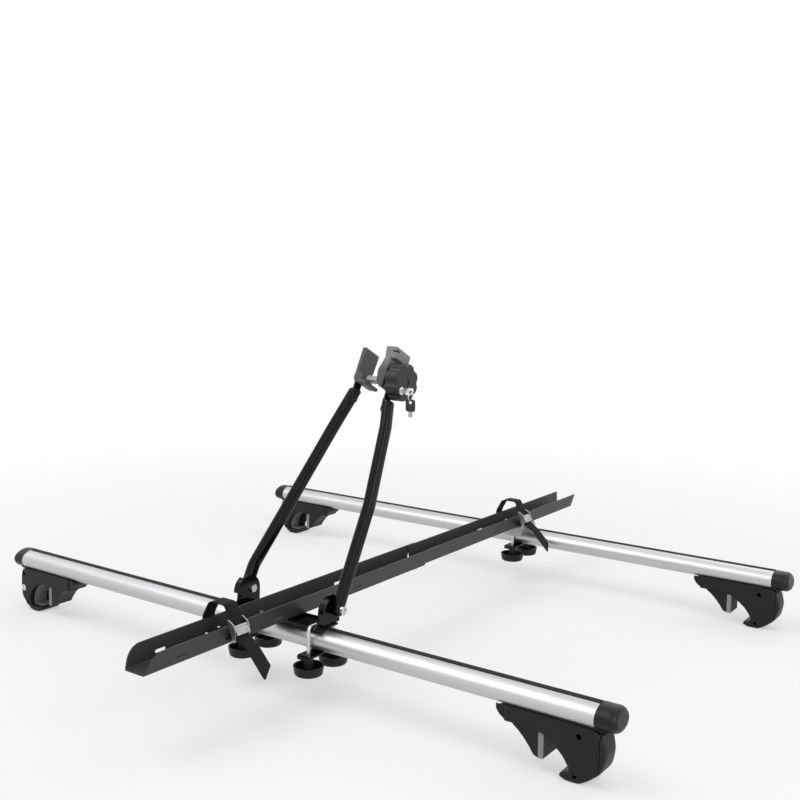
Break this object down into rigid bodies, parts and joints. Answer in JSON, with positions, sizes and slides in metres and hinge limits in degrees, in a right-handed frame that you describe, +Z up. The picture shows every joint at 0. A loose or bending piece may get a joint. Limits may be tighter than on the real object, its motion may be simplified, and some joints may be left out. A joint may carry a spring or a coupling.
{
  "type": "roof mounted bike carrier",
  "caption": "Roof unit that carries an upright bicycle: crossbars on rail clamp feet, wheel tray with straps, and folding arms with a locking frame clamp.",
  "frame": {"origin": "on the ground under the middle of the part, which stands on its four hooks", "axes": "+X along the crossbars towards the end beside the clamp knob, +Y along the wheel tray to the rear, +Z up"},
  "size_m": [1.264, 1.2707, 0.5351],
  "materials": {
    "bar_aluminium": "satin anodised aluminium extrusion",
    "strip_rubber": "matt black rubber",
    "black_plastic": "fine-grained black moulding",
    "zinc_steel": "zinc-plated steel",
    "spring_steel": "bright drawn wire",
    "pad_rubber": "dark grey rubber",
    "tray_steel": "dark grey powder coat",
    "arm_steel": "black powder coat",
    "saddle_plastic": "light grey moulding",
    "lock_chrome": "bright lock face",
    "key_steel": "nickel-plated key",
    "webbing": "black woven webbing",
    "buckle_metal": "bright cast zinc"
  },
  "bodies": {
    "carrier": {"front_bar": "bar_aluminium", "rear_bar": "bar_aluminium", "bar_top_strips": "strip_rubber", "foot_saddle_pads": "strip_rubber", "bar_end_caps": "black_plastic", "foot_nose_covers": "black_plastic", "foot_end_blocks": "black_plastic", "foot_clamp_screws": "zinc_steel", "foot_bar_bolts": "zinc_steel", "tray_screws": "zinc_steel", "front_u_bolts": "zinc_steel", "rear_bolts": "zinc_steel", "pivot_bolts": "zinc_steel", "foot_hook_pads": "pad_rubber", "tray_front": "tray_steel", "tray_rear": "tray_steel", "base_plate": "arm_steel", "pivot_brackets": "arm_steel", "front_clamp_plates": "arm_steel", "rear_clamp_plate": "arm_steel", "rear_saddle": "saddle_plastic", "front_strap": "webbing", "rear_strap": "webbing", "strap_buckle_frames": "buckle_metal", "foot_rear_right": "black_plastic", "foot_front_right": "black_plastic", "foot_rear_left": "black_plastic", "foot_front_left": "black_plastic"},
    "holder": {"far_arm": "arm_steel", "far_jaw": "black_plastic", "clamp_bolt": "zinc_steel", "clamp_spring": "spring_steel"},
    "near_arm": {"near_arm": "arm_steel", "near_jaw": "black_plastic"},
    "clamp_nut": {"clamp_nut": "zinc_steel"},
    "clamp_knob": {"clamp_knob": "black_plastic"},
    "knob_lock": {"knob_lock": "lock_chrome", "lock_key": "key_steel"},
    "spare_key": {"key_ring": "spring_steel", "spare_key": "key_steel"},
    "front_knob_left_front": {"front_knob_left_front": "black_plastic"},
    "front_knob_left_rear": {"front_knob_left_rear": "black_plastic"},
    "front_knob_right_front": {"front_knob_right_front": "black_plastic"},
    "front_knob_right_rear": {"front_knob_right_rear": "black_plastic"},
    "rear_knob_front": {"rear_knob_front": "black_plastic"},
    "rear_knob_rear": {"rear_knob_rear": "black_plastic"},
    "foot_jaw_rear_right": {"foot_jaw_rear_right": "black_plastic", "foot_jaw_pad_rear_right": "pad_rubber"},
    "foot_lock_rear_right": {"foot_lock_rear_right": "lock_chrome"},
    "foot_jaw_front_right": {"foot_jaw_front_right": "black_plastic", "foot_jaw_pad_front_right": "pad_rubber"},
    "foot_lock_front_right": {"foot_lock_front_right": "lock_chrome"},
    "foot_jaw_rear_left": {"foot_jaw_rear_left": "black_plastic", "foot_jaw_pad_rear_left": "pad_rubber"},
    "foot_lock_rear_left": {"foot_lock_rear_left": "lock_chrome"},
    "foot_jaw_front_left": {"foot_jaw_front_left": "black_plastic", "foot_jaw_pad_front_left": "pad_rubber"},
    "foot_lock_front_left": {"foot_lock_front_left": "lock_chrome"},
    "front_buckle_cam": {"front_buckle_cam": "buckle_metal"},
    "rear_buckle_cam": {"rear_buckle_cam": "buckle_metal"}
  },
  "joints": [
    {"name": "holder_fold", "type": "hinge", "parent": "carrier", "child": "holder", "pos_m": [0.052, -0.3105, 0.14], "axis": [-1, 0, 0], "range_deg": [-28, 55]},
    {"name": "near_arm_tilt", "type": "hinge", "parent": "holder", "child": "near_arm", "pos_m": [0.148, -0.3105, 0.14], "axis": [0, 0.887, -0.4617], "range_deg": [-1.5, 3.2]},
    {"name": "clamp_nut_slide", "type": "slide", "parent": "holder", "child": "clamp_nut", "axis": [1, 0, 0], "range_m": [-0.011, 0.022]},
    {"name": "clamp_knob_spin", "type": "hinge", "parent": "clamp_nut", "child": "clamp_knob", "pos_m": [0.14, -0.13504, 0.47706], "axis": [1, 0, 0], "continuous": true},
    {"name": "knob_lock_turn", "type": "hinge", "parent": "clamp_knob", "child": "knob_lock", "pos_m": [0.148, -0.1515, 0.46557], "axis": [1, 0, 0], "range_deg": [0, 90]},
    {"name": "spare_key_swing", "type": "hinge", "parent": "knob_lock", "child": "spare_key", "pos_m": [0.1702, -0.15206, 0.46451], "axis": [0, 1, 0], "range_deg": [-20, 20]},
    {"name": "front_knob_left_front_spin", "type": "hinge", "parent": "carrier", "child": "front_knob_left_front", "pos_m": [-0.011, -0.3545, 0.055], "axis": [0, 0, 1], "continuous": true},
    {"name": "front_knob_left_rear_spin", "type": "hinge", "parent": "carrier", "child": "front_knob_left_rear", "pos_m": [-0.011, -0.2945, 0.055], "axis": [0, 0, 1], "continuous": true},
    {"name": "front_knob_right_front_spin", "type": "hinge", "parent": "carrier", "child": "front_knob_right_front", "pos_m": [0.127, -0.3545, 0.055], "axis": [0, 0, 1], "continuous": true},
    {"name": "front_knob_right_rear_spin", "type": "hinge", "parent": "carrier", "child": "front_knob_right_rear", "pos_m": [0.127, -0.2945, 0.055], "axis": [0, 0, 1], "continuous": true},
    {"name": "rear_knob_front_spin", "type": "hinge", "parent": "carrier", "child": "rear_knob_front", "pos_m": [0.058, 0.3935, 0.055], "axis": [0, 0, 1], "continuous": true},
    {"name": "rear_knob_rear_spin", "type": "hinge", "parent": "carrier", "child": "rear_knob_rear", "pos_m": [0.058, 0.4535, 0.055], "axis": [0, 0, 1], "continuous": true},
    {"name": "foot_jaw_rear_right_slide", "type": "slide", "parent": "carrier", "child": "foot_jaw_rear_right", "axis": [1, 0, 0], "range_m": [0, 0.014]},
    {"name": "foot_jaw_front_right_slide", "type": "slide", "parent": "carrier", "child": "foot_jaw_front_right", "axis": [1, 0, 0], "range_m": [0, 0.014]},
    {"name": "foot_jaw_rear_left_slide", "type": "slide", "parent": "carrier", "child": "foot_jaw_rear_left", "axis": [-1, 0, 0], "range_m": [0, 0.014]},
    {"name": "foot_jaw_front_left_slide", "type": "slide", "parent": "carrier", "child": "foot_jaw_front_left", "axis": [-1, 0, 0], "range_m": [0, 0.014]},
    {"name": "foot_lock_rear_right_turn", "type": "hinge", "parent": "carrier", "child": "foot_lock_rear_right", "pos_m": [0.6013, 0.4455, 0.04065], "axis": [0, 1, 0], "range_deg": [0, 90]},
    {"name": "foot_lock_front_right_turn", "type": "hinge", "parent": "carrier", "child": "foot_lock_front_right", "pos_m": [0.6013, -0.3025, 0.04065], "axis": [0, 1, 0], "range_deg": [0, 90]},
    {"name": "foot_lock_rear_left_turn", "type": "hinge", "parent": "carrier", "child": "foot_lock_rear_left", "pos_m": [-0.6013, 0.4015, 0.04065], "axis": [0, -1, 0], "range_deg": [0, 90]},
    {"name": "foot_lock_front_left_turn", "type": "hinge", "parent": "carrier", "child": "foot_lock_front_left", "pos_m": [-0.6013, -0.3465, 0.04065], "axis": [0, -1, 0], "range_deg": [0, 90]},
    {"name": "front_cam_turn", "type": "hinge", "parent": "carrier", "child": "front_buckle_cam", "pos_m": [0.0935, -0.46849, 0.1456], "axis": [0, -1, 0], "range_deg": [0, 70], "stiffness_Nm_per_rad": 0.02},
    {"name": "rear_cam_turn", "type": "hinge", "parent": "carrier", "child": "rear_buckle_cam", "pos_m": [0.0935, 0.38448, 0.1456], "axis": [0, -1, 0], "range_deg": [0, 70], "stiffness_Nm_per_rad": 0.02}
  ],
  "couplings": [
    {"joint": "clamp_nut_slide", "follows": "near_arm_tilt", "m_per_rad": 0.385}
  ]
}
